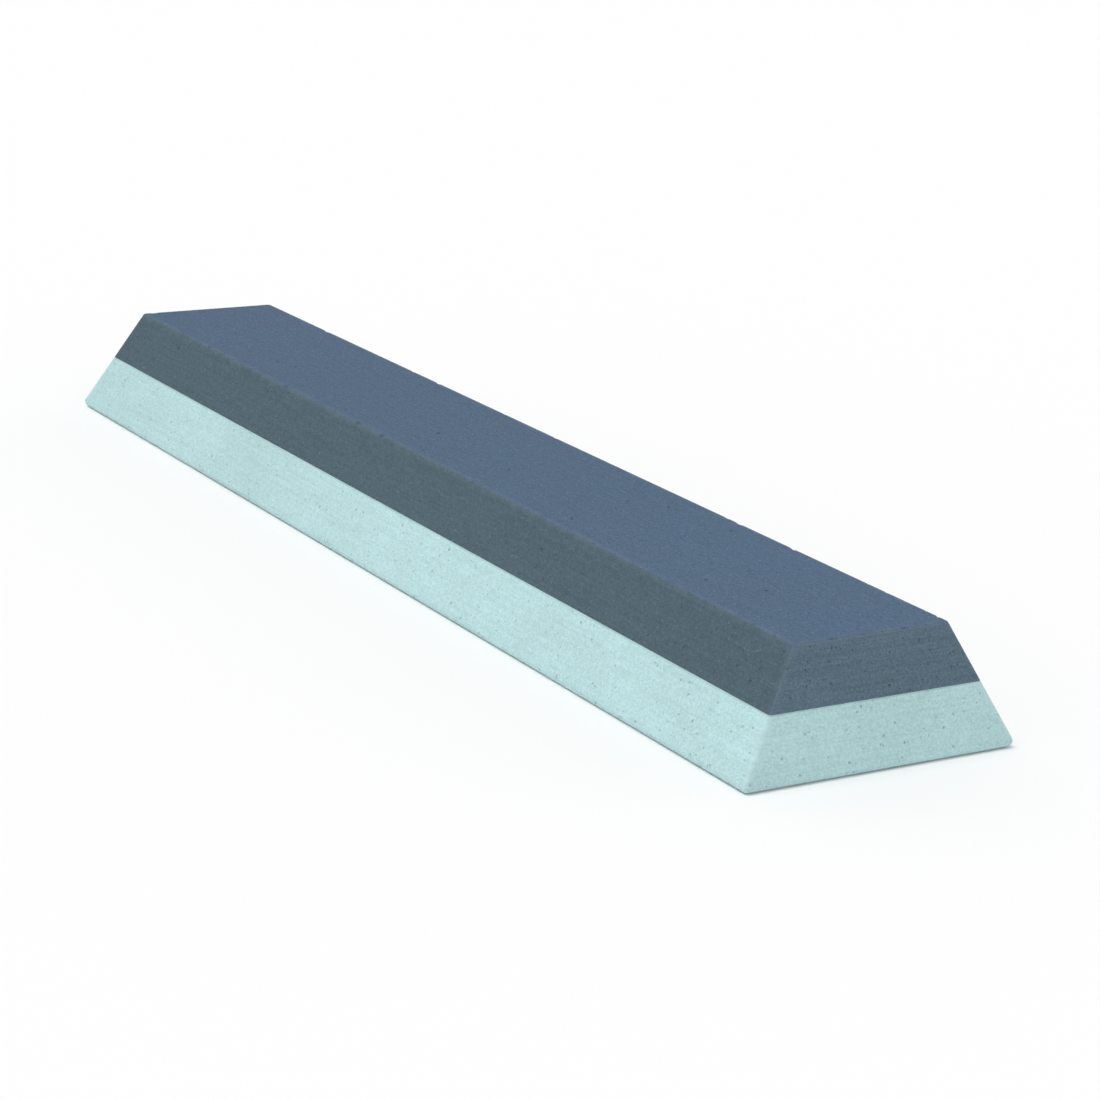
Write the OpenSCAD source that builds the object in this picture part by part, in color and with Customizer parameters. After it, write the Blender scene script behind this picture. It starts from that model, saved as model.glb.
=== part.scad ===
// Two-layer sharpening whetstone with sloping flanks.
//
// Two slabs of abrasive are glued face to face, and the flanks of the glued
// block are then ground as one, so that all four sides are single planes from
// the base to the honing face. Nothing moves. Either slab can face up in use.
//
// Millimetres. The origin is the centre of the base, X runs along the stone,
// Y across it and Z up, towards the narrower honing face.

/* [Block] */
// Length of the base, corner to corner, before its edges are rounded
base_length = 200; // [100:1:300]
// Width of the base, corner to corner, before its edges are rounded
base_width = 43; // [34:0.5:90]
// Lean of the two long flanks, inward from vertical
side_rake = 29.5; // [0:0.5:30]
// Lean of the two end flanks, inward from vertical
end_rake = 16; // [0:0.5:30]

/* [Layers] */
// Thickness of the pale slab that forms the base
lower_thickness = 8.7; // [5:0.1:12]
// Thickness of the glue film between the slabs
bond_thickness = 0.2; // [0.1:0.05:0.6]
// Thickness of the dark slab that carries the honing face
upper_thickness = 7.8; // [5:0.1:12]

/* [Edges] */
// Radius of the rounding along the edges of the base
base_round = 0.9; // [0.3:0.1:2]
// Width and height of the chamfer along the edges of the honing face
honing_chamfer = 0.4; // [0.1:0.05:1.5]
// Distance that the glue film stops short of the flanks
bond_setback = 0.1; // [0.05:0.05:1]

/* [Hidden] */
$fn = 48;

// Sinks a polygon's corner just inside the arc that it meets, so that rounding
// of the numbers can't leave a hairline step between the two.
arc_lap = 0.0005;

bond_z = lower_thickness;
upper_z = bond_z + bond_thickness;
honing_z = upper_z + upper_thickness;

// Half the size of the block at height z, for a flank that leans by rake.
function half_at(z, half_base, rake) = half_base - z * tan(rake);

// Points of a profile's right side, then the same points mirrored to its left.
function both_sides(right) = concat(right, [for (i = [len(right) - 1 : -1 : 0]) [-right[i].x, right[i].y]]);

// A slice of the block's profile between two heights, taken in by inset.
module slice_profile(half_base, rake, z_from, z_to, inset = 0)
    polygon(both_sides([
        for (z = [z_from, z_to]) [half_at(z, half_base, rake) - inset, z]
    ]));

// The profile of the lower slab: its two bottom corners are arcs that are
// tangent to the base and to the flank.
module rounded_profile(half_base, rake, z_to) {
    corner_angle = 90 - rake;
    arc_x = half_base - base_round / tan(corner_angle / 2);
    to_flank = (base_round - arc_lap) * [cos(rake), sin(rake)];
    polygon(both_sides([
        [arc_x, 0],
        [arc_x, base_round],
        [arc_x, base_round] + to_flank,
        [half_at(z_to, half_base, rake), z_to]
    ]));
    for (side = [-1, 1])
        translate([side * arc_x, base_round]) circle(r = base_round);
}

// The profile of the upper slab: its two top corners are chamfered.
module chamfered_profile(half_base, rake, z_from, z_to) {
    z_flank = z_to - honing_chamfer;
    polygon(both_sides([
        [half_at(z_from, half_base, rake), z_from],
        [half_at(z_flank, half_base, rake), z_flank],
        [half_at(z_to, half_base, rake) - honing_chamfer, z_to]
    ]));
}

// Stands a profile up along Y, so that it shapes the two ends.
module end_prism()
    rotate([90, 0, 0])
        linear_extrude(height = 2 * base_width, center = true) children();

// Stands a profile up along X, so that it shapes the two long flanks.
module side_prism()
    rotate([90, 0, 90])
        linear_extrude(height = 2 * base_length, center = true) children();

module lower_stone()
    color([0.72, 0.86, 0.87])
        intersection() {
            end_prism() rounded_profile(base_length / 2, end_rake, bond_z);
            side_prism() rounded_profile(base_width / 2, side_rake, bond_z);
        }

module bond_film()
    color([0.82, 0.85, 0.80])
        intersection() {
            end_prism() slice_profile(base_length / 2, end_rake, bond_z, upper_z, bond_setback);
            side_prism() slice_profile(base_width / 2, side_rake, bond_z, upper_z, bond_setback);
        }

module upper_stone()
    color([0.34, 0.43, 0.50])
        intersection() {
            end_prism() chamfered_profile(base_length / 2, end_rake, upper_z, honing_z);
            side_prism() chamfered_profile(base_width / 2, side_rake, upper_z, honing_z);
        }

lower_stone();
bond_film();
upper_stone();
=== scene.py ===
"""A two-layer sharpening stone, laid out as an add-on: sizes, colours, operators and a panel.

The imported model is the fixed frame. Every piece is drawn round it in metres, with its place
in its own mesh: +X runs along the stone, +Y across it and +Z up, towards the honing face.
"""

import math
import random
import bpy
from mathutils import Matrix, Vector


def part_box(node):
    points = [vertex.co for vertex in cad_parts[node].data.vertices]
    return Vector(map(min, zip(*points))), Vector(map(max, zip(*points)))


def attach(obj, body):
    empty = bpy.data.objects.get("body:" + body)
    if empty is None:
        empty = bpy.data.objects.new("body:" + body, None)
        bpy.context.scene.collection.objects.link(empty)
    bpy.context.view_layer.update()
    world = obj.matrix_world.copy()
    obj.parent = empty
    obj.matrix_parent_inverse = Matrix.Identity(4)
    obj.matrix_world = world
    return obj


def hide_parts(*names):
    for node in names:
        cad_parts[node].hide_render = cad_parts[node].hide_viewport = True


bl_info = {
    "name": "Two-layer whetstone",
    "version": (1, 0, 0),
    "blender": (4, 5, 0),
    "location": "View3D > Sidebar > Whetstone",
    "description": "Builds a two-layer sharpening stone on its packed frame, with its studio",
    "category": "Add Mesh",
}

import bmesh
import bpy
from bpy.props import FloatProperty, FloatVectorProperty, IntProperty, PointerProperty
from bpy.types import Operator, Panel, PropertyGroup
from mathutils import Matrix, Vector, noise

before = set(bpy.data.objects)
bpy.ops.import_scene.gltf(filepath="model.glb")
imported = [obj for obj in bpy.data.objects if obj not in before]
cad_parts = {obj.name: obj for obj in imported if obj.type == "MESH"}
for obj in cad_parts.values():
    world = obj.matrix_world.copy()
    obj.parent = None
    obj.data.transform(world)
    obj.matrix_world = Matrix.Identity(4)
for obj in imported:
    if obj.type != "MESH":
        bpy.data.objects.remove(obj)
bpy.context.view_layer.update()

MM = 0.001
PER_MM = 1000.0

# Segments of a layer's round corners, and of the arcs along its edges.
CORNER_SEGMENTS = 4
ARC_STEPS = 7

# A pebble is a rough ball that cuts one nick or pore. The smallest is a share of the largest, the
# lift is how much of its radius stands proud, and most nicks are small because of the power.
PEBBLE_ROUGHNESS = (0.86, 1.08)
SMALLEST_NICK = 0.25
NICK_POWER = 6
NICK_LIFT = (0.45, 0.7)
NICK_STRETCH = (1.1, 2.1)
NICK_GAP = (0.45, 1.6)
SMALLEST_PIT = 0.4
PIT_POWER = 2
PIT_LIFT = 0.25
PIT_STRETCH = (1.0, 1.6)

# Sizes in the abrasives' patterns, as multiples of the grain.
FLECK_CELL = 2.6
FINE = 0.5
GRAIN_RELIEF = 0.2
FINE_RELIEF = 0.3
PORE_DEPTH = 0.5

# Sizes in the abrasives' patterns, in millimetres, and the lapping lines' turns in degrees. Wear
# starts at the first distance from an edge, and is full at the second.
CLOUD_SIZE = 14.0
DRIFT_SIZE = 60.0
GROUND_LINE = 0.3
LAPPED_LINE = 0.26
LAPPING_TURNS = (24, -31)
CRUMBLE_SIZE = 1.6
WEAR_REACH = (0.5, 0.1)

# How strongly each mark covers the colour below it. The pores' mark is painted shade.
STRAY_SHARE = 0.5
PORE_SHADE_SHARE = 0.6
FRESH_SHARE = 0.15
WEAR_SHARE = 0.32

# The glue film stands a little inside the flanks. Its long edges are cut this often along the
# stone and across it, and then wander in a long and a short wave.
FILM_INSET = 0.01 * MM
FILM_ROUND = 0.02 * MM
FILM_STEPS = 2
FILM_CUTS = (160, 30)
FILM_LONG_EDGE = 10 * MM
FILM_WAVES = (0.6, 2.1)

# Half the floor's width in metres, and how high above the horizon the surroundings stop dimming.
FLOOR_HALF = 6.0
SKY_FADE = math.radians(20)

# How rough the diffuse light of a dry, unpolished surface is.
MATT = 0.8


# ---------------------------------------------------------------- sizes and colours


class WhetstoneSizes(PropertyGroup):
    """Sizes of the edges and of their wear. The block's own sizes come from the frame."""

    base_round: FloatProperty(
        name="Base rounding",
        description="Radius along the edges of the base",
        default=0.9 * MM,
        min=0.1 * MM,
        max=2 * MM,
        unit="LENGTH",
    )
    honing_round: FloatProperty(
        name="Honing edge rounding",
        description="Radius along the edges of the honing face",
        default=0.35 * MM,
        min=0.1 * MM,
        max=1 * MM,
        unit="LENGTH",
    )
    seam_round: FloatProperty(
        name="Seam rounding",
        description="Radius along the edges that meet the glue film",
        default=0.06 * MM,
        min=0.02 * MM,
        max=0.3 * MM,
        unit="LENGTH",
    )
    corner_round: FloatProperty(
        name="Corner rounding",
        description="Radius of the four leaning corner edges, seen from above",
        default=0.45 * MM,
        min=0.1 * MM,
        max=2 * MM,
        unit="LENGTH",
    )
    nick_size: FloatProperty(
        name="Nick size",
        description="Radius of the largest nick in an edge",
        default=0.75 * MM,
        min=0.2 * MM,
        max=2 * MM,
        unit="LENGTH",
    )
    nick_spacing: FloatProperty(
        name="Nick spacing",
        description="Usual distance between two nicks along an edge",
        default=5 * MM,
        min=2 * MM,
        max=100 * MM,
        unit="LENGTH",
    )
    pit_size: FloatProperty(
        name="Pit size",
        description="Radius of the largest open pore in a face",
        default=0.32 * MM,
        min=0.1 * MM,
        max=1 * MM,
        unit="LENGTH",
    )
    pits: IntProperty(
        name="Pits",
        description="Number of open pores in each slab's faces",
        default=60,
        min=0,
        max=400,
    )
    pale_grain: FloatProperty(
        name="Pale grain",
        description="Usual size of a grain in the lower slab",
        default=0.24 * MM,
        min=0.05 * MM,
        max=1 * MM,
        unit="LENGTH",
    )
    dark_grain: FloatProperty(
        name="Dark grain",
        description="Usual size of a grain in the upper slab",
        default=0.20 * MM,
        min=0.05 * MM,
        max=1 * MM,
        unit="LENGTH",
    )
    film_waver: FloatProperty(
        name="Film waver",
        description="How far the edge of the glue film wanders in from the flanks",
        default=0.09 * MM,
        min=0,
        max=0.5 * MM,
        unit="LENGTH",
    )
    seed: IntProperty(
        name="Seed",
        description="Start of the random draws that place the nicks and the pits",
        default=7,
        min=0,
    )


class WhetstoneColours(PropertyGroup):
    """Colours of the two abrasives, the glue and the floor, in scene-linear light."""

    pale: FloatVectorProperty(
        name="Pale abrasive",
        description="The lower slab",
        default=(0.530, 0.742, 0.754),
        subtype="COLOR",
        size=3,
        min=0,
        max=1,
    )
    pale_light: FloatVectorProperty(
        name="Pale slab's light grains",
        description="The lightest grains of the lower slab, and its worn edges",
        default=(0.72, 0.84, 0.84),
        subtype="COLOR",
        size=3,
        min=0,
        max=1,
    )
    pale_dark: FloatVectorProperty(
        name="Pale slab's dark grains",
        description="The darkest grains of the lower slab",
        default=(0.24, 0.40, 0.42),
        subtype="COLOR",
        size=3,
        min=0,
        max=1,
    )
    dark_face: FloatVectorProperty(
        name="Dark honing face",
        description="Lapped top of the upper slab",
        default=(0.080, 0.141, 0.227),
        subtype="COLOR",
        size=3,
        min=0,
        max=1,
    )
    dark_flank: FloatVectorProperty(
        name="Dark flanks",
        description="Ground flanks of the upper slab",
        default=(0.080, 0.133, 0.164),
        subtype="COLOR",
        size=3,
        min=0,
        max=1,
    )
    # Painted light: this end colour is lighter than the flanks' colour so that the ends, which get
    # less light, look as bright as the flanks.
    dark_end_painted_light: FloatVectorProperty(
        name="Dark ends",
        description="Sawn ends of the upper slab",
        default=(0.118, 0.186, 0.241),
        subtype="COLOR",
        size=3,
        min=0,
        max=1,
    )
    dark_light: FloatVectorProperty(
        name="Dark slab's light grains",
        description="The lightest grains of the upper slab, and its worn edges",
        default=(0.17, 0.235, 0.28),
        subtype="COLOR",
        size=3,
        min=0,
        max=1,
    )
    dark_dark: FloatVectorProperty(
        name="Dark slab's dark grains",
        description="The darkest grains of the upper slab",
        default=(0.022, 0.036, 0.050),
        subtype="COLOR",
        size=3,
        min=0,
        max=1,
    )
    glue: FloatVectorProperty(
        name="Glue",
        description="Film between the slabs",
        default=(0.48, 0.67, 0.67),
        subtype="COLOR",
        size=3,
        min=0,
        max=1,
    )
    floor: FloatVectorProperty(
        name="Floor",
        description="Plain pale floor",
        default=(0.935, 0.935, 0.935),
        subtype="COLOR",
        size=3,
        min=0,
        max=1,
    )


class WhetstoneStudio(PropertyGroup):
    """Where the camera stands and how strong the lights are."""

    bearing: FloatProperty(
        name="Bearing",
        description="Camera's turn round the stone, from straight in front of its long side",
        default=math.radians(57.576),
        subtype="ANGLE",
    )
    elevation: FloatProperty(
        name="Elevation",
        description="Camera's angle above the floor",
        default=math.radians(16.787),
        subtype="ANGLE",
    )
    roll: FloatProperty(
        name="Roll",
        description="Camera's tilt about its own line of sight",
        default=math.radians(3.245),
        subtype="ANGLE",
    )
    distance: FloatProperty(
        name="Distance",
        description="From the camera to the point that it is aimed at",
        default=430.44 * MM,
        unit="LENGTH",
    )
    aim: FloatVectorProperty(
        name="Aim",
        description="Point that the camera is aimed at",
        default=(27.09 * MM, -4.39 * MM, 8.35 * MM),
        subtype="TRANSLATION",
        size=3,
    )
    lens: FloatProperty(
        name="Lens",
        description="Focal length in millimetres, on a sensor 36 mm wide",
        default=99.64,
        min=10,
        max=300,
    )
    horizon: FloatProperty(
        name="Horizon",
        description="Brightness of the white surroundings at the height of the floor",
        default=1.0,
        min=0,
        max=5,
    )
    sky: FloatProperty(
        name="Sky",
        description="Brightness of the white surroundings overhead",
        default=0.66,
        min=0,
        max=5,
    )
    key_strength: FloatProperty(
        name="Key light",
        description="Strength of the large soft light above the stone",
        default=1.33,
        min=0,
        max=20,
    )
    key_softness: FloatProperty(
        name="Key softness",
        description="Angle that the key light spans, as seen from the stone",
        default=math.radians(35),
        subtype="ANGLE",
    )
    key_from: FloatVectorProperty(
        name="Key direction",
        description="Where the key light comes from, as seen from the stone",
        default=(-0.10, -0.35, 0.93),
        subtype="DIRECTION",
        size=3,
    )


def settings():
    """The scene's own copies of the sizes, the colours and the studio."""
    scene = bpy.context.scene
    return scene.whetstone_sizes, scene.whetstone_colours, scene.whetstone_studio


# ---------------------------------------------------------------- the block's shape


class Block:
    """The glued block with sharp edges: its flanks lean inward as single planes from the base."""

    def __init__(self, slab):
        """Reads the flanks from a packed slab that has a sharp base and a chamfered top."""
        rings = {}
        for vertex in slab.data.vertices:
            ring = rings.setdefault(round(vertex.co.z, 6), [0.0, 0.0])
            for axis in (0, 1):
                ring[axis] = max(ring[axis], vertex.co[axis])
        levels = sorted(rings)
        low, high = levels[0], levels[-2]
        self.slope = [(rings[low][axis] - rings[high][axis]) / (high - low) for axis in (0, 1)]
        self.half_base = [rings[low][axis] + low * self.slope[axis] for axis in (0, 1)]
        self.lean = [math.atan(slope) for slope in self.slope]

    def half_at(self, z, axis):
        """Half the sharp block's length (axis 0) or width (axis 1) at a height."""
        return self.half_base[axis] - z * self.slope[axis]

    def flank_normal(self, axis, side):
        """Outward normal of an end (axis 0) or of a long flank (axis 1)."""
        normal = Vector((0.0, 0.0, math.sin(self.lean[axis])))
        normal[axis] = side * math.cos(self.lean[axis])
        return normal

    def corner(self, x_side, y_side, z):
        """A corner of the sharp block at a height."""
        return Vector((x_side * self.half_at(z, 0), y_side * self.half_at(z, 1), z))


block = Block(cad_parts["upper_stone"])


class Layer:
    """One layer of the block, with a radius along its lower and upper edges."""

    def __init__(self, node, low_round, high_round, inset=0.0):
        """The node gives the heights. The inset is how far the layer stands inside the block."""
        self.heights = self.low, self.high = [corner.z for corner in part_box(node)]
        self.low_round, self.high_round = low_round, high_round
        self.inset = inset

    def half_at(self, z, axis):
        """Half the layer's length or width at a height, its rounded edges included."""
        for radius, centre_z, side in (
            (self.low_round, self.low + self.low_round, -1),
            (self.high_round, self.high - self.high_round, 1),
        ):
            past = side * (z - centre_z)
            if past > side * radius * math.sin(block.lean[axis]):
                centre = block.half_at(centre_z, axis) - radius / math.cos(block.lean[axis])
                return centre + math.sqrt(max(radius * radius - past * past, 0.0)) - self.inset
        return block.half_at(z, axis) - self.inset

    def ring_heights(self, steps):
        """Heights of the rings that draw the profile, from the base up, with an arc at each end."""
        low_turn = math.pi / 2 + max(block.lean)
        high_turn = math.pi / 2 - min(block.lean)
        shares = [k / steps for k in range(steps + 1)]
        below = [self.low + self.low_round * (1 - math.cos(low_turn * t)) for t in shares]
        above = [self.high - self.high_round * (1 - math.cos(high_turn * t)) for t in shares]
        return below + above[::-1]

    def shape(self, corner_round, steps=ARC_STEPS):
        """The layer's bmesh: a rectangle with round corners, extruded ring by ring."""
        heights = self.ring_heights(steps)
        halves = [[self.half_at(z, axis) for axis in (0, 1)] for z in heights]
        bm = bmesh.new()
        bmesh.ops.create_grid(bm, x_segments=1, y_segments=1, size=1.0)
        bmesh.ops.scale(bm, vec=(*halves[0], 1.0), verts=bm.verts)
        bmesh.ops.translate(bm, vec=(0.0, 0.0, heights[0]), verts=bm.verts)
        bmesh.ops.bevel(
            bm,
            geom=bm.verts[:],
            offset=corner_round,
            segments=CORNER_SEGMENTS,
            profile=0.5,
            affect="VERTICES",
            material=-1,
        )
        base = cap = bm.faces[:][0]
        for before, after, z in zip(halves, halves[1:], heights[1:]):
            grown = bmesh.ops.extrude_face_region(bm, geom=[cap])["geom"]
            if cap is not base:
                bmesh.ops.delete(bm, geom=[cap], context="FACES_ONLY")
            cap = next(item for item in grown if isinstance(item, bmesh.types.BMFace))
            for vertex in cap.verts:
                for axis in (0, 1):
                    growth = after[axis] - before[axis]
                    vertex.co[axis] += math.copysign(1.0, vertex.co[axis]) * growth
                vertex.co.z = z
        bmesh.ops.recalc_face_normals(bm, faces=bm.faces[:])
        return bm


class Edge:
    """An edge between two of the block's planes, and how deep the stone lies below it."""

    def __init__(self, start, end, normals, radius):
        """The sharp edge runs from start to end, between planes that face along the normals."""
        self.start, self.end = start, end
        middle = normals[0] + normals[1]
        self.outward = middle.normalized()
        self.sunk = radius * (2 / middle.length - 1)

    def point(self, share):
        """A point on the stone's surface at a share of the way along the edge."""
        return self.start.lerp(self.end, share) - self.outward * self.sunk


def rim_edges(z, cap_normal, radius):
    """The four edges that a level face of the block has at a height."""
    edges = []
    for side in (-1, 1):
        for axis in (0, 1):
            turns = [(side, turn) if axis == 0 else (turn, side) for turn in (-1, 1)]
            start, end = (block.corner(*turn, z) for turn in turns)
            edges.append(Edge(start, end, (cap_normal, block.flank_normal(axis, side)), radius))
    return edges


def corner_edges(low, high, radius):
    """The four leaning edges between the block's flanks."""
    return [
        Edge(
            block.corner(x_side, y_side, low),
            block.corner(x_side, y_side, high),
            (block.flank_normal(0, x_side), block.flank_normal(1, y_side)),
            radius,
        )
        for x_side in (-1, 1)
        for y_side in (-1, 1)
    ]


# ---------------------------------------------------------------- wear cut into the shape


def add_cutter(bm, centre, along, size, stretch, draw):
    """Adds a rough pebble to the cutters, stretched along a direction."""
    turn = along.to_track_quat("X", "Z").to_matrix().to_4x4()
    sizes = Matrix.Diagonal((size * stretch, size, size, 1.0))
    place = Matrix.Translation(centre) @ turn @ sizes
    made = bmesh.ops.create_icosphere(bm, subdivisions=2, radius=1.0, matrix=place)
    for vertex in made["verts"]:
        vertex.co = centre + (vertex.co - centre) * draw.uniform(*PEBBLE_ROUGHNESS)


def share_of_largest(smallest, power, draw):
    """A random share from the smallest to 1, more often small the higher the power."""
    return smallest + (1 - smallest) * draw.random() ** power


def cut_nicks(bm, edges, sizes, draw):
    """Adds the pebbles that break small scallops out of the edges, more small ones than large."""
    for edge in edges:
        length = (edge.end - edge.start).length
        travelled = sizes.nick_spacing * draw.uniform(0.2, 1.0)
        while travelled < length - 2 * sizes.nick_size:
            size = sizes.nick_size * share_of_largest(SMALLEST_NICK, NICK_POWER, draw)
            lift = size * draw.uniform(*NICK_LIFT)
            centre = edge.point(travelled / length) + edge.outward * lift
            add_cutter(bm, centre, edge.end - edge.start, size, draw.uniform(*NICK_STRETCH), draw)
            travelled += sizes.nick_spacing * draw.uniform(*NICK_GAP)


def cut_pits(bm, faces, sizes, draw):
    """Adds the pebbles that open pores in the faces, spread by area."""
    areas = [(b - a).length * (c - a).length for a, b, c, _ in faces]
    for _ in range(sizes.pits):
        a, b, c, d = draw.choices(faces, weights=areas)[0]
        u, v = draw.uniform(0.02, 0.98), draw.uniform(0.12, 0.88)
        spot = a.lerp(b, u).lerp(c.lerp(d, u), v)
        normal = (b - a).cross(c - a).normalized()
        size = sizes.pit_size * share_of_largest(SMALLEST_PIT, PIT_POWER, draw)
        centre = spot + normal * size * PIT_LIFT
        add_cutter(bm, centre, b - a, size, draw.uniform(*PIT_STRETCH), draw)


def outer_faces(layer, cap_z, cap_side):
    """Four corners of each plane that the layer shows: its level face, then its flanks and ends.
    The level face looks up where the side is 1, and down where it is -1."""
    rows = [[block.corner(x, y, cap_z) for x in (-1, 1)] for y in (-cap_side, cap_side)]
    faces = [[*rows[0], *rows[1]]]
    for side in (-1, 1):
        rows = [[block.corner(-side * turn, side, z) for turn in (-1, 1)] for z in layer.heights]
        faces.append([*rows[0], *rows[1]])
        rows = [[block.corner(side, side * turn, z) for turn in (-1, 1)] for z in layer.heights]
        faces.append([*rows[0], *rows[1]])
    return faces


# ---------------------------------------------------------------- meshes made into pieces


def mesh_object(name, bm, materials):
    """A new object at the origin that holds the bmesh, with these materials in its slots."""
    mesh = bpy.data.meshes.new(name)
    bm.to_mesh(mesh)
    bm.free()
    for material in materials:
        mesh.materials.append(material)
    made = bpy.data.objects.new(name, mesh)
    bpy.context.scene.collection.objects.link(made)
    return made


def keep_modifiers(piece):
    """Makes what the modifiers show the piece's own mesh."""
    shown = piece.evaluated_get(bpy.context.evaluated_depsgraph_get())
    before, piece.data = piece.data, bpy.data.meshes.new_from_object(shown)
    piece.modifiers.clear()
    bpy.data.meshes.remove(before)
    piece.data.name = piece.name


def carve(piece, cutters, fresh):
    """Takes the cutters out of the piece. What they lay bare wears the fresh material."""
    bmesh.ops.recalc_face_normals(cutters, faces=cutters.faces[:])
    tool = mesh_object("cutters", cutters, [fresh])
    cut = piece.modifiers.new("nicks", "BOOLEAN")
    cut.operation, cut.solver, cut.material_mode = "DIFFERENCE", "EXACT", "TRANSFER"
    cut.object = tool
    keep_modifiers(piece)
    bpy.data.meshes.remove(tool.data)
    if not piece.data.polygons:
        raise RuntimeError(f"The cutters left nothing of {piece.name}")


def smooth_edges(piece, sharp_from=math.radians(32)):
    """Shades the rounded edges smoothly into the planes, and leaves the nicks crisp."""
    mesh = piece.data
    mesh.polygons.foreach_set("use_smooth", [True] * len(mesh.polygons))
    mesh.set_sharp_from_angle(angle=sharp_from)
    weigh = piece.modifiers.new("even_shading", "WEIGHTED_NORMAL")
    weigh.mode, weigh.weight, weigh.keep_sharp = "FACE_AREA", 80, True


def block_sides():
    """Each side's outward normal, the direction along it, the one across it, and its name."""
    up, along, across = Vector((0, 0, 1)), Vector((1, 0, 0)), Vector((0, 1, 0))
    sides = [("base", -up, along, -across), ("top", up, along, across)]
    for side in (-1, 1):
        flank, end = block.flank_normal(1, side), block.flank_normal(0, side)
        sides.append(("flank", flank, -side * along, flank.cross(-side * along)))
        sides.append(("end", end, side * across, end.cross(side * across)))
    return sides


def spread(loops, direction):
    """The direction, where these corners start along it, and how far they reach."""
    places = [loop.vert.co.dot(direction) for loop in loops]
    return direction, min(places), max(places) - min(places)


def lay_out_map(piece, shares, gap=0.006):
    """Gives the piece a map for baking. Each side has a shelf over the whole width, but the long
    sides are cut at the middle into two shelves, and both ends stand on one. A shelf is as tall as
    what stands on it, times the side's share."""
    bm = bmesh.new()
    bm.from_mesh(piece.data)
    everything = bm.verts[:] + bm.edges[:] + bm.faces[:]
    bmesh.ops.bisect_plane(bm, geom=everything, plane_co=(0, 0, 0), plane_no=(1, 0, 0), dist=1e-8)
    layer = bm.loops.layers.uv.new("OFBake")
    sides = block_sides()
    names = [side[0] for side in sides]
    shelves = {}
    for face in bm.faces:
        index = max(range(len(sides)), key=lambda i: sides[i][1].dot(face.normal))
        is_end = names[index] == "end"
        shelf = (names.index("end"), 0) if is_end else (index, face.calc_center_median().x > 0)
        shelves.setdefault(shelf, {}).setdefault(index, []).append(face)
    rows = []
    for (first, _), islands in sorted(shelves.items()):
        row = []
        for index, faces in sorted(islands.items()):
            _, _, along, across = sides[index]
            loops = [loop for face in faces for loop in face.loops]
            row.append((loops, spread(loops, along), spread(loops, across)))
        rows.append((row, max(across[2] for _, _, across in row) * shares[names[first]]))
    room = (1 - gap * (len(rows) + 1)) / sum(tall for _, tall in rows)
    floor = gap
    for row, tall in rows:
        width = (1 - gap * (len(row) + 1)) / len(row)
        for column, (loops, along, across) in enumerate(row):
            left = gap + column * (width + gap)
            for loop in loops:
                u = (loop.vert.co.dot(along[0]) - along[1]) / along[2]
                v = (loop.vert.co.dot(across[0]) - across[1]) / across[2]
                loop[layer].uv = (left + width * u, floor + room * tall * v)
        floor += room * tall + gap
    bm.to_mesh(piece.data)
    bm.free()


# ---------------------------------------------------------------- materials


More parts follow.
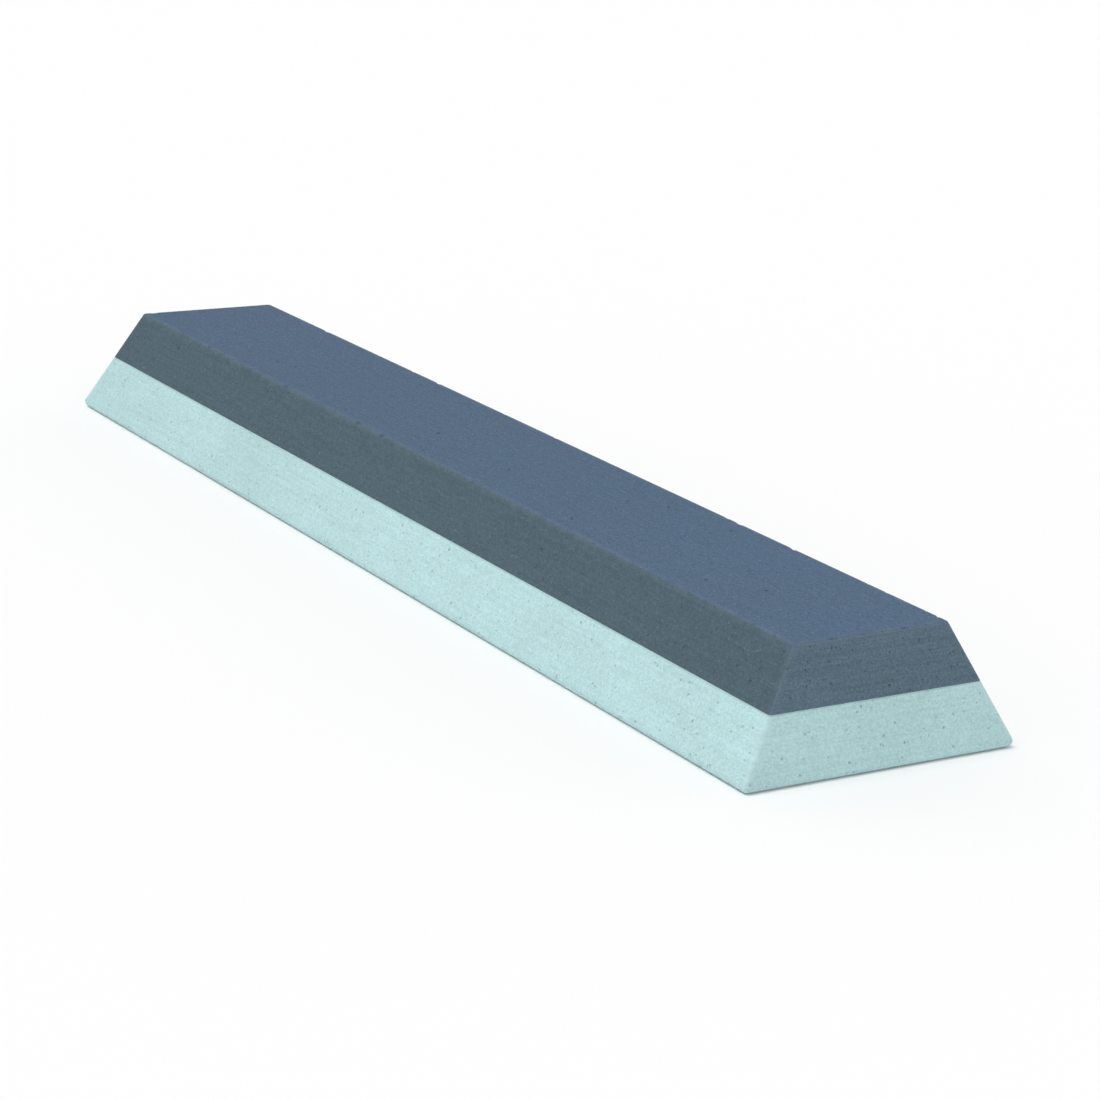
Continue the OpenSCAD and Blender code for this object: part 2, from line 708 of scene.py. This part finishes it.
class Pattern:
    """A material's nodes, so that a pattern reads as a few sums. Its lengths are millimetres."""

    def __init__(self, name):
        """Starts a material, whose pattern reads the piece's own coordinates."""
        self.material = bpy.data.materials.new(name)
        self.material.use_nodes = True
        self.tree = self.material.node_tree
        self.shader = self.tree.nodes["Principled BSDF"]
        metres = self.tree.nodes.new("ShaderNodeTexCoord").outputs["Object"]
        self.place = self.stretched(metres, (PER_MM, PER_MM, PER_MM))

    def add(self, kind, inputs, **values):
        """A node with these settings, whose inputs take sockets or plain values."""
        made = self.tree.nodes.new(kind)
        for name, value in values.items():
            setattr(made, name, value)
        for key, value in inputs.items():
            if isinstance(value, bpy.types.NodeSocket):
                self.tree.links.new(value, made.inputs[key])
            else:
                made.inputs[key].default_value = value
        return made

    def stretched(self, place, scale, turn=(0.0, 0.0, 0.0)):
        """The coordinates turned, then scaled along each axis."""
        inputs = {"Vector": place, "Scale": scale, "Rotation": turn}
        return self.add("ShaderNodeMapping", inputs).outputs[0]

    def sum(self, operation, a, b=0.0):
        """One step of arithmetic."""
        return self.add("ShaderNodeMath", {0: a, 1: b}, operation=operation).outputs[0]

    def noise(self, size, detail=2.0, place=None):
        """Smooth noise from 0 to 1, whose lumps are about this size."""
        inputs = {"Vector": place or self.place, "Scale": 1 / size, "Detail": detail}
        return self.add("ShaderNodeTexNoise", inputs).outputs[0]

    def warped(self, size, amount):
        """The coordinates pushed about by noise, so that what reads them has ragged outlines."""
        inputs = {"Vector": self.place, "Scale": 1 / size, "Detail": 1.0}
        push = self.add("ShaderNodeTexNoise", inputs).outputs[1]
        inputs = {0: push, 1: (amount,) * 3, 2: self.place}
        return self.add("ShaderNodeVectorMath", inputs, operation="MULTIPLY_ADD").outputs[0]

    def grains(self, size, place):
        """Packed grains of about this size: two random numbers that each grain has of its own, and
        how many sizes away its middle is."""
        node = self.add("ShaderNodeTexVoronoi", {"Vector": place, "Scale": 1 / size})
        parts = self.add("ShaderNodeSeparateColor", {0: node.outputs["Color"]})
        return parts.outputs[0], parts.outputs[1], node.outputs["Distance"]

    def ramp(self, value, start, end, low=0.0, high=1.0):
        """A smooth step of the value, from low at start to high at end."""
        inputs = {"Value": value, "From Min": start, "From Max": end, "To Min": low, "To Max": high}
        return self.add("ShaderNodeMapRange", inputs, interpolation_type="SMOOTHSTEP").outputs[0]

    def mixed(self, share, a, b):
        """Colour a, turning into colour b as the share goes from 0 to 1."""
        return self.add("ShaderNodeMix", {0: share, 6: a, 7: b}, data_type="RGBA").outputs[2]

    def covered(self, colour, mark, share, cover):
        """The colour with a mark on it, which covers up to this share of what lies below."""
        return self.mixed(self.sum("MULTIPLY", mark, share), colour, solid(cover))

    def either(self, share, a, b):
        """Value a, turning into value b as the share goes from 0 to 1."""
        return self.add("ShaderNodeMix", {0: share, 2: a, 3: b}, data_type="FLOAT").outputs[0]

    def shaded(self, colour, tone):
        """The colour made lighter or darker by a factor."""
        inputs = {0: colour, "Scale": tone}
        return self.add("ShaderNodeVectorMath", inputs, operation="SCALE").outputs[0]

    def depths(self, cap_height):
        """How far a point lies below the ends, the long flanks and the level outer face."""
        parts = self.add("ShaderNodeSeparateXYZ", {0: self.place})
        found = []
        for axis in (0, 1):
            half = self.sum("MULTIPLY", parts.outputs[2], -block.slope[axis])
            half = self.sum("ADD", half, block.half_base[axis] * PER_MM)
            inside = self.sum("SUBTRACT", half, self.sum("ABSOLUTE", parts.outputs[axis]))
            found.append(self.sum("MULTIPLY", inside, math.cos(block.lean[axis])))
        away = self.sum("SUBTRACT", parts.outputs[2], cap_height * PER_MM)
        return [*found, self.sum("ABSOLUTE", away)]

    def arris_distance(self, depths):
        """How far a point on the surface lies from the nearest of the block's edges."""
        total = self.sum("ADD", self.sum("ADD", depths[0], depths[1]), depths[2])
        most = self.sum("MAXIMUM", self.sum("MAXIMUM", depths[0], depths[1]), depths[2])
        return self.sum("SUBTRACT", total, most)

    def finish(self, colour, roughness, height, specular=0.35):
        """Feeds the shader, and returns the material. The height is in millimetres."""
        bump = self.add("ShaderNodeBump", {"Height": height, "Distance": MM, "Strength": 1.0})
        links = self.tree.links
        links.new(colour, self.shader.inputs["Base Color"])
        links.new(roughness, self.shader.inputs["Roughness"])
        links.new(bump.outputs["Normal"], self.shader.inputs["Normal"])
        self.shader.inputs["Specular IOR Level"].default_value = specular
        self.shader.inputs["Diffuse Roughness"].default_value = MATT
        return self.material


def solid(colour):
    """A colour with the alpha that a colour socket wants."""
    return (*colour, 1.0)


def abrasive(name, colours, grain, cap_height, marks, contrast, fresh=False):
    """Bonded abrasive: packed grains in a fine matrix, a few of them lighter or darker, with small
    open pores between them, whose darker colour is painted shade. The flanks carry level lines from
    grinding, the outer face has crossed lapping lines, and the edges are worn a little paler. A
    fresh break has neither lines nor wear.
    The colours are those of the flank, the end, the outer face, a light grain and a dark grain;
    where the end's colour differs from the flank's, it is painted light.
    The grain is in millimetres. Marks and contrast say how far the lines and the grains change
    the tone, as shares of it."""
    flank, end, face, light, dark = colours
    p = Pattern(name)
    pick, lift, _ = p.grains(grain, p.warped(1.5 * grain, 0.8 * grain))
    cell = FLECK_CELL * grain
    fleck, fleck_lift, middle = p.grains(cell, p.warped(1.2 * grain, 1.6 * grain))
    fleck_away = p.sum("MULTIPLY", middle, cell)
    fine = p.noise(FINE * grain, 1.0)
    cloud = p.noise(CLOUD_SIZE, 3.0)
    drift = p.noise(DRIFT_SIZE, 1.0)
    depths = p.depths(cap_height)
    on_face = p.ramp(depths[2], 0.05, 0.16, 1.0, 0.0)
    on_end_painted_light = p.ramp(depths[0], 0.05, 0.3, 1.0, 0.0)

    tone = p.ramp(pick, 0.0, 1.0, 1 - contrast, 1 + contrast)
    tone = p.sum("MULTIPLY", tone, p.ramp(fine, 0.25, 0.75, 1 - 0.6 * contrast, 1 + 0.6 * contrast))
    tone = p.sum("MULTIPLY", tone, p.ramp(cloud, 0.25, 0.75, 0.965, 1.035))
    tone = p.sum("MULTIPLY", tone, p.ramp(drift, 0.3, 0.7, 0.98, 1.02))

    # Some of the larger cells hold a stray grain at their middle, and others a pore.
    body = p.ramp(fleck_away, 0.75 * grain, 0.55 * grain)
    stray_light = p.sum("MULTIPLY", body, p.ramp(fleck, 0.90, 0.93))
    stray_dark = p.sum("MULTIPLY", body, p.ramp(fleck, 0.10, 0.07))
    hole = p.ramp(fleck_lift, 0.86, 1.0, 0.0, 0.9 * grain)
    pore = p.ramp(p.sum("SUBTRACT", hole, fleck_away), 0.0, 0.25 * grain)

    relief = p.sum("MULTIPLY", lift, GRAIN_RELIEF * grain)
    height = p.sum("ADD", relief, p.sum("MULTIPLY", fine, FINE_RELIEF * grain))
    height = p.sum("SUBTRACT", height, p.sum("MULTIPLY", pore, PORE_DEPTH * grain))

    # Painted light: the ends take their own colour, which on the upper slab is lighter than the
    # flanks' so that the less lit ends look as bright as the flanks.
    colour = p.mixed(on_end_painted_light, solid(flank), solid(end))
    colour = p.mixed(on_face, colour, solid(face))
    if fresh:
        colour = p.mixed(FRESH_SHARE, colour, solid(light))
    else:
        level = p.noise(GROUND_LINE, 2.0, p.stretched(p.place, (0.02, 0.02, 1.0)))
        turned = [(0.0, 0.0, math.radians(turn)) for turn in LAPPING_TURNS]
        places = [p.stretched(p.place, (0.03, 1.0, 1.0), turn) for turn in turned]
        laps = [p.noise(LAPPED_LINE, 1.0, place) for place in places]
        crossed = p.sum("MULTIPLY", p.sum("ADD", *laps), 0.5)
        line = p.either(on_face, level, crossed)
        tone = p.sum("MULTIPLY", tone, p.ramp(line, 0.3, 0.7, 1 - marks, 1 + marks))
        height = p.sum("ADD", height, p.sum("MULTIPLY", line, 0.4 * marks))
    colour = p.shaded(colour, tone)
    colour = p.covered(colour, stray_light, STRAY_SHARE, light)
    colour = p.covered(colour, stray_dark, STRAY_SHARE, dark)
    # Painted shade: each pore is darkened towards half the flank's colour, as shade falls in the
    # hole.
    colour = p.covered(colour, pore, PORE_SHADE_SHARE, [0.5 * part for part in flank])
    if not fresh:
        crumbled = p.ramp(p.noise(CRUMBLE_SIZE, 3.0), 0.2, 0.8, -0.45, 0.35)
        crumbled = p.sum("ADD", crumbled, p.ramp(pick, 0.0, 1.0, -0.3, 0.3))
        reach = p.sum("ADD", p.arris_distance(depths), crumbled)
        worn = p.ramp(reach, *WEAR_REACH, 0.0, WEAR_SHARE)
        colour = p.mixed(worn, colour, solid(light))
    rough = p.ramp(pick, 0.8, 1.0, 0.86, 0.66)
    rough = p.sum("SUBTRACT", rough, p.sum("MULTIPLY", stray_light, 0.25))
    rough = p.sum("ADD", rough, p.ramp(cloud, 0.3, 0.7, -0.04, 0.04))
    return p.finish(colour, rough, height)


def glue_film(name, colour):
    """Set glue, scraped nearly flush with the flanks: almost even, with a cloud and ripples."""
    p = Pattern(name)
    tone = p.ramp(p.noise(4.0, 2.0), 0.25, 0.75, 0.93, 1.07)
    tone = p.sum("MULTIPLY", tone, p.ramp(p.noise(0.5, 1.0), 0.2, 0.8, 0.95, 1.05))
    roughness = p.ramp(p.noise(1.0, 1.0), 0.2, 0.8, 0.5, 0.65)
    return p.finish(p.shaded(colour, tone), roughness, p.sum("MULTIPLY", p.noise(0.7), 0.02))


def plain(name, colour, roughness):
    """One even colour, for the floor."""
    material = bpy.data.materials.new(name)
    material.use_nodes = True
    shader = material.node_tree.nodes["Principled BSDF"]
    shader.inputs["Base Color"].default_value = solid(colour)
    shader.inputs["Roughness"].default_value = roughness
    shader.inputs["Specular IOR Level"].default_value = 0.0
    return material


# ---------------------------------------------------------------- operators


def hand_over(piece, node):
    """The piece stands for its CAD node and rides on the one body."""
    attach(piece, "root")
    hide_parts(node)


def make_slab(name, layer, look, edges, level_face, map_shares, draw):
    """Shapes a slab, breaks small nicks out of its edges, opens its pores and lays out its map."""
    sizes = settings()[0]
    ground = abrasive(f"{name}_ground", **look)
    broken = abrasive(f"{name}_broken", **look, fresh=True)
    piece = mesh_object(name, layer.shape(sizes.corner_round), [ground])
    cutters = bmesh.new()
    cut_nicks(cutters, edges, sizes, draw)
    cut_pits(cutters, outer_faces(layer, *level_face), sizes, draw)
    carve(piece, cutters, broken)
    lay_out_map(piece, map_shares)
    smooth_edges(piece)
    return piece


class WHETSTONE_OT_lower_stone(Operator):
    """Pale slab: the base, with rounded bottom edges"""

    bl_idname = "whetstone.lower_stone"
    bl_label = "Lower stone"

    def execute(self, context):
        sizes, colours, _ = settings()
        draw = random.Random(sizes.seed)
        layer = Layer("lower_stone", sizes.base_round, sizes.seam_round)
        pale = colours.pale
        look = {
            "colours": (pale, pale, pale, colours.pale_light, colours.pale_dark),
            "grain": sizes.pale_grain * PER_MM,
            "cap_height": layer.low,
            "marks": 0.03,
            "contrast": 0.07,
        }
        edges = rim_edges(layer.low, Vector((0, 0, -1)), sizes.base_round)
        edges += corner_edges(layer.low + 2 * sizes.base_round, layer.high, sizes.corner_round)
        map_shares = {"base": 0.55, "top": 0.1, "flank": 1.0, "end": 1.3}
        piece = make_slab("pale_slab", layer, look, edges, (layer.low, -1), map_shares, draw)
        hand_over(piece, "lower_stone")
        return {"FINISHED"}


class WHETSTONE_OT_upper_stone(Operator):
    """Dark slab: the narrower layer, whose top is the honing face"""

    bl_idname = "whetstone.upper_stone"
    bl_label = "Upper stone"

    def execute(self, context):
        sizes, colours, _ = settings()
        draw = random.Random(sizes.seed + 1)
        layer = Layer("upper_stone", sizes.seam_round, sizes.honing_round)
        # The upper slab's end colour is painted light: lighter than the flanks' to make up for the
        # light that the ends lack.
        flank, end, face = colours.dark_flank, colours.dark_end_painted_light, colours.dark_face
        look = {
            "colours": (flank, end, face, colours.dark_light, colours.dark_dark),
            "grain": sizes.dark_grain * PER_MM,
            "cap_height": layer.high,
            "marks": 0.06,
            "contrast": 0.12,
        }
        edges = rim_edges(layer.high, Vector((0, 0, 1)), sizes.honing_round)
        edges += corner_edges(layer.low, layer.high, sizes.corner_round)
        map_shares = {"base": 0.1, "top": 0.9, "flank": 1.0, "end": 1.3}
        piece = make_slab("dark_slab", layer, look, edges, (layer.high, 1), map_shares, draw)
        hand_over(piece, "upper_stone")
        return {"FINISHED"}


class WHETSTONE_OT_bond_film(Operator):
    """Glue film between the slabs, with an edge that wanders a little"""

    bl_idname = "whetstone.bond_film"
    bl_label = "Bond film"

    def execute(self, context):
        sizes, colours, _ = settings()
        layer = Layer("bond_film", FILM_ROUND, FILM_ROUND, inset=FILM_INSET)
        bm = layer.shape(sizes.corner_round, steps=FILM_STEPS)
        for axis, cuts in enumerate(FILM_CUTS):
            spans = [(edge, edge.verts[0].co - edge.verts[1].co) for edge in bm.edges]
            long_edges = [edge for edge, span in spans if abs(span[axis]) > FILM_LONG_EDGE]
            bmesh.ops.subdivide_edges(bm, edges=long_edges, cuts=cuts, use_grid_fill=False)
        for vertex in bm.verts:
            place = Vector((vertex.co.x, vertex.co.y, 0.0)) * PER_MM
            long_wave, short_wave = (noise.noise(place * wave) for wave in FILM_WAVES)
            inward = sizes.film_waver * (0.5 + 0.5 * long_wave + 0.3 * short_wave)
            for axis in (0, 1):
                vertex.co[axis] -= math.copysign(max(inward, 0.0), vertex.co[axis])
        piece = mesh_object("glue_film", bm, [glue_film("glue", colours.glue)])
        lay_out_map(piece, {"base": 0.05, "top": 0.05, "flank": 4.0, "end": 4.0})
        hand_over(piece, "bond_film")
        return {"FINISHED"}


def soft_light(name, source, strength, softness):
    """A distant light that spans a wide angle, so that it shines evenly and softly everywhere."""
    light = bpy.data.lights.new(name, "SUN")
    light.energy, light.angle = strength, softness
    lamp = bpy.data.objects.new(name, light)
    lamp.location = source.normalized()
    lamp.rotation_mode = "QUATERNION"
    lamp.rotation_quaternion = source.to_track_quat("Z", "Y")
    bpy.context.scene.collection.objects.link(lamp)


def surroundings(name, horizon, sky):
    """White surroundings, brightest at the horizon and below it, and dimmer overhead."""
    world = bpy.data.worlds.new(name)
    world.use_nodes = True
    nodes, links = world.node_tree.nodes, world.node_tree.links
    nodes["Background"].inputs["Color"].default_value = solid((1.0, 1.0, 1.0))
    place = nodes.new("ShaderNodeTexCoord")
    parts = nodes.new("ShaderNodeSeparateXYZ")
    fade = nodes.new("ShaderNodeMapRange")
    fade.interpolation_type = "SMOOTHSTEP"
    fade.inputs["From Max"].default_value = math.sin(SKY_FADE)
    fade.inputs["To Min"].default_value = horizon
    fade.inputs["To Max"].default_value = sky
    links.new(place.outputs["Generated"], parts.inputs[0])
    links.new(parts.outputs["Z"], fade.inputs["Value"])
    links.new(fade.outputs[0], nodes["Background"].inputs["Strength"])
    return world


def stand_camera(name, studio):
    """The scene's camera, at its distance from the aim and tilted about its line of sight."""
    level = math.cos(studio.elevation)
    ahead, side = math.cos(studio.bearing), math.sin(studio.bearing)
    view = Vector((side * level, -ahead * level, math.sin(studio.elevation)))
    right = Vector((ahead, side, 0.0))
    tilt = Matrix.Rotation(studio.roll, 3, view)
    right, up = tilt @ right, tilt @ view.cross(right)
    camera = bpy.data.objects.new(name, bpy.data.cameras.new(name))
    camera.data.lens = studio.lens
    camera.data.clip_start, camera.data.clip_end = 0.01, 50.0
    turned = Matrix((right, up, view)).transposed().to_4x4()
    place = Vector(studio.aim) + view * studio.distance
    camera.matrix_world = Matrix.Translation(place) @ turned
    bpy.context.scene.collection.objects.link(camera)
    bpy.context.scene.camera = camera


class WHETSTONE_OT_stage(Operator):
    """Plain pale floor, soft light and the camera"""

    bl_idname = "whetstone.stage"
    bl_label = "Stage"

    def execute(self, context):
        _, colours, studio = settings()
        scene = context.scene
        bm = bmesh.new()
        bmesh.ops.create_grid(bm, x_segments=1, y_segments=1, size=FLOOR_HALF)
        floor = mesh_object("floor", bm, [plain("floor", colours.floor, 1.0)])

        scene.world = surroundings("surroundings", studio.horizon, studio.sky)
        soft_light("key_light", studio.key_from, studio.key_strength, studio.key_softness)
        stand_camera("camera", studio)
        scene.view_settings.view_transform = "Standard"
        return {"FINISHED"}


class WHETSTONE_PT_panel(Panel):
    """Sizes, colours and buttons"""

    bl_label = "Whetstone"
    bl_idname = "WHETSTONE_PT_panel"
    bl_space_type = "VIEW_3D"
    bl_region_type = "UI"
    bl_category = "Whetstone"

    def draw(self, context):
        layout = self.layout
        for operator in PIECES:
            layout.operator(operator.bl_idname)
        for group in settings():
            box = layout.box()
            for name in group.__annotations__:
                box.prop(group, name)


PIECES = (
    WHETSTONE_OT_lower_stone,
    WHETSTONE_OT_bond_film,
    WHETSTONE_OT_upper_stone,
    WHETSTONE_OT_stage,
)
GROUPS = (WhetstoneSizes, WhetstoneColours, WhetstoneStudio)


def register():
    """Adds the classes, and the settings to the scene."""
    for each in (*GROUPS, *PIECES, WHETSTONE_PT_panel):
        bpy.utils.register_class(each)
    bpy.types.Scene.whetstone_sizes = PointerProperty(type=WhetstoneSizes)
    bpy.types.Scene.whetstone_colours = PointerProperty(type=WhetstoneColours)
    bpy.types.Scene.whetstone_studio = PointerProperty(type=WhetstoneStudio)


def unregister():
    """Takes the settings and the classes away again."""
    del bpy.types.Scene.whetstone_studio
    del bpy.types.Scene.whetstone_colours
    del bpy.types.Scene.whetstone_sizes
    for each in (WHETSTONE_PT_panel, *reversed(PIECES), *reversed(GROUPS)):
        bpy.utils.unregister_class(each)


def main():
    register()
    bpy.ops.whetstone.lower_stone()
    bpy.ops.whetstone.bond_film()
    bpy.ops.whetstone.upper_stone()
    bpy.ops.whetstone.stage()


if __name__ == "__main__":
    main()
